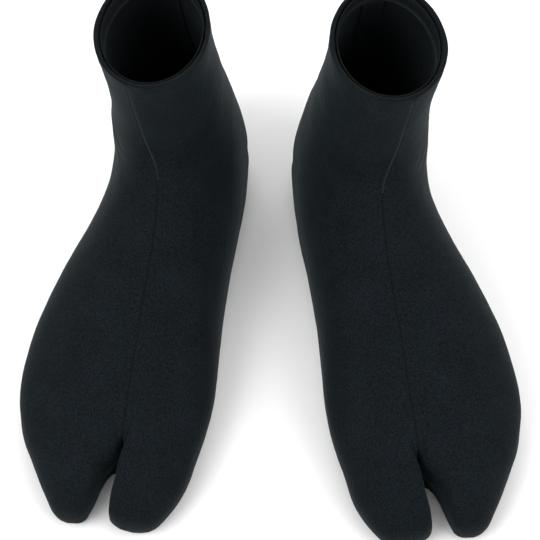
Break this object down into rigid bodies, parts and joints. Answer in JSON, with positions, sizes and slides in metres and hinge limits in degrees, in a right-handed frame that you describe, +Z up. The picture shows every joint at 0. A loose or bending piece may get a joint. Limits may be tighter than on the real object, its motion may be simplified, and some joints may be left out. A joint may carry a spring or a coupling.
{
  "type": "neoprene boots",
  "caption": "Pair of thin split-toe neoprene ankle boots, pull-on, with a ladder-stitched centre seam from collar to toe cleft and a flat rubber outsole.",
  "frame": {"origin": "middle of the pair's bounding box, on the ground under the outsoles", "axes": "+Z up the shafts, toes towards -Y, left boot at -X and right boot at +X"},
  "size_m": [0.2776, 0.2826, 0.176],
  "materials": {
    "neoprene": "matte knit-faced neoprene",
    "outsole_rubber": "matte moulded rubber",
    "seam_tape": "matte woven tape",
    "thread": "satin nylon thread"
  },
  "bodies": {
    "left_boot": {"left_inner_upper_panel": "neoprene", "left_outer_upper_panel": "neoprene", "left_sole_panel": "neoprene", "left_outsole": "outsole_rubber", "left_centre_seam_tape": "seam_tape", "left_heel_seam_tape": "seam_tape", "left_collar_hem_tape": "seam_tape", "left_centre_seam_stitching": "thread", "left_heel_seam_stitching": "thread", "left_sole_seam_stitching": "thread"},
    "right_boot": {"right_inner_upper_panel": "neoprene", "right_outer_upper_panel": "neoprene", "right_sole_panel": "neoprene", "right_outsole": "outsole_rubber", "right_centre_seam_tape": "seam_tape", "right_heel_seam_tape": "seam_tape", "right_collar_hem_tape": "seam_tape", "right_centre_seam_stitching": "thread", "right_heel_seam_stitching": "thread", "right_sole_seam_stitching": "thread"}
  },
  "joints": [
    {"name": "right_boot_slide", "type": "slide", "parent": "left_boot", "child": "right_boot", "axis": [1, 0, 0], "range_m": [0, 0.2]}
  ]
}
